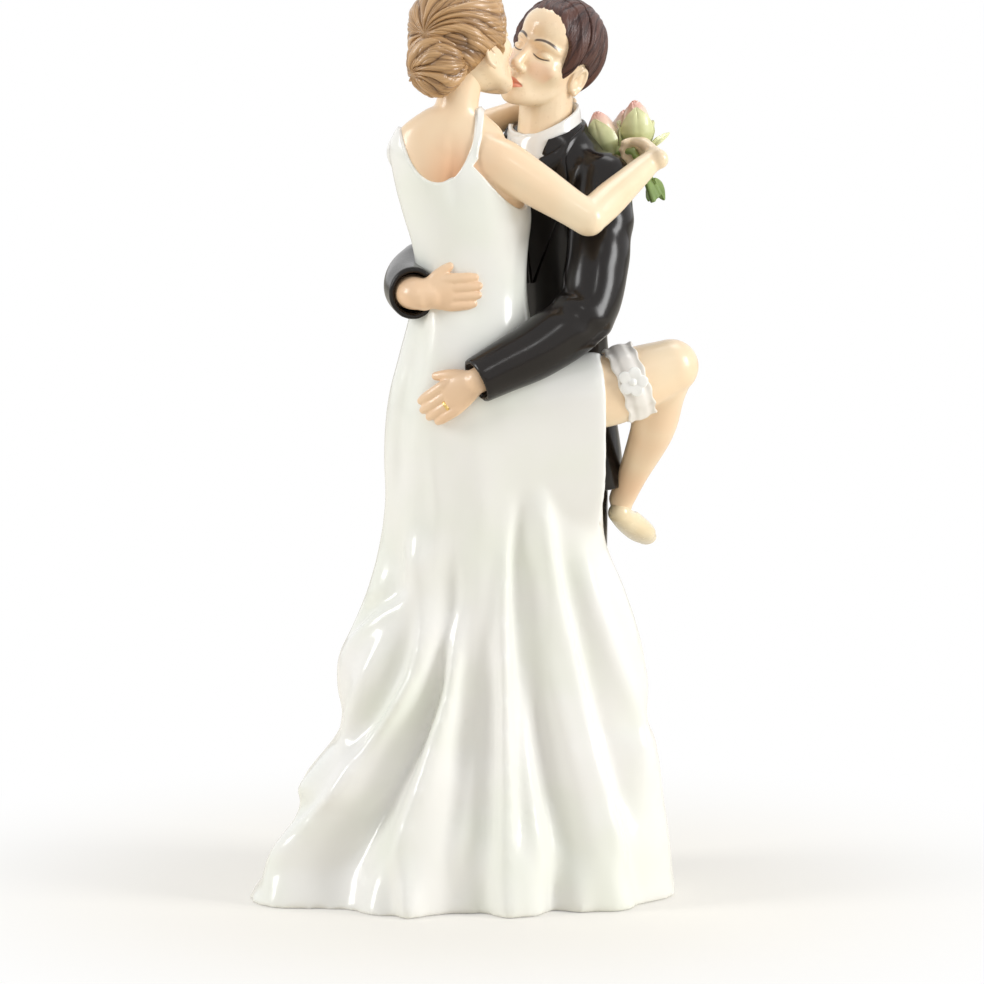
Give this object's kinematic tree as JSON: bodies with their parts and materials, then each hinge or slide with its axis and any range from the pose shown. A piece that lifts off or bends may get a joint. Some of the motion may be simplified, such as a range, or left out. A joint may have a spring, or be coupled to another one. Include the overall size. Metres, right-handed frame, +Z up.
{
  "type": "wedding cake topper",
  "caption": "Glazed porcelain bride and groom embracing, the bride's leg raised past the gown's slit; stands on the gown's hem to crown a cake.",
  "frame": {"origin": "on the ground, under the middle of the bounding box", "axes": "+Z up from the hem to the heads; -Y is the side shown in the picture, where the bride's back is; +X is to the right there, where the bride's knee is raised"},
  "size_m": [0.0694, 0.0414, 0.1437],
  "materials": {
    "white_glaze": "gloss",
    "plaster": "matte",
    "skin_glaze": "gloss",
    "bride_hair": "gloss",
    "groom_hair": "gloss",
    "black_glaze": "gloss",
    "shirt_white": "gloss",
    "ivory_glaze": "gloss",
    "satin_white": "satin",
    "petal": "satin",
    "leaf_green": "satin",
    "stem_green": "satin",
    "ring_gold": "polished"
  },
  "bodies": {
    "root": {"gown": "white_glaze", "base_core": "plaster", "bride_bust": "skin_glaze", "bride_head": "skin_glaze", "bride_hair": "bride_hair", "bride_bun": "bride_hair", "bride_right_arm": "skin_glaze", "bride_left_arm": "skin_glaze", "bride_right_hand": "skin_glaze", "bride_left_hand": "skin_glaze", "bride_leg": "skin_glaze", "bride_shoe": "ivory_glaze", "garter_band": "satin_white", "garter_flower": "satin_white", "groom_jacket": "black_glaze", "groom_shirt_front": "shirt_white", "groom_shirt_collar": "shirt_white", "groom_bow_tie": "black_glaze", "groom_left_lapel": "black_glaze", "groom_right_lapel": "black_glaze", "groom_left_sleeve": "black_glaze", "groom_right_sleeve": "black_glaze", "groom_left_hand": "skin_glaze", "groom_right_hand": "skin_glaze", "wedding_ring": "ring_gold", "groom_head": "skin_glaze", "groom_hair": "groom_hair", "groom_left_trouser": "black_glaze", "groom_right_trouser": "black_glaze", "groom_left_shoe": "black_glaze", "groom_right_shoe": "black_glaze", "bouquet_stems": "stem_green", "rosebud_left": "petal", "rosebud_right": "petal", "rosebud_back": "petal", "sepal_left": "leaf_green", "sepal_right": "leaf_green", "sepal_back": "leaf_green", "leaf_inner": "leaf_green", "leaf_outer": "leaf_green"}
  },
  "joints": []
}
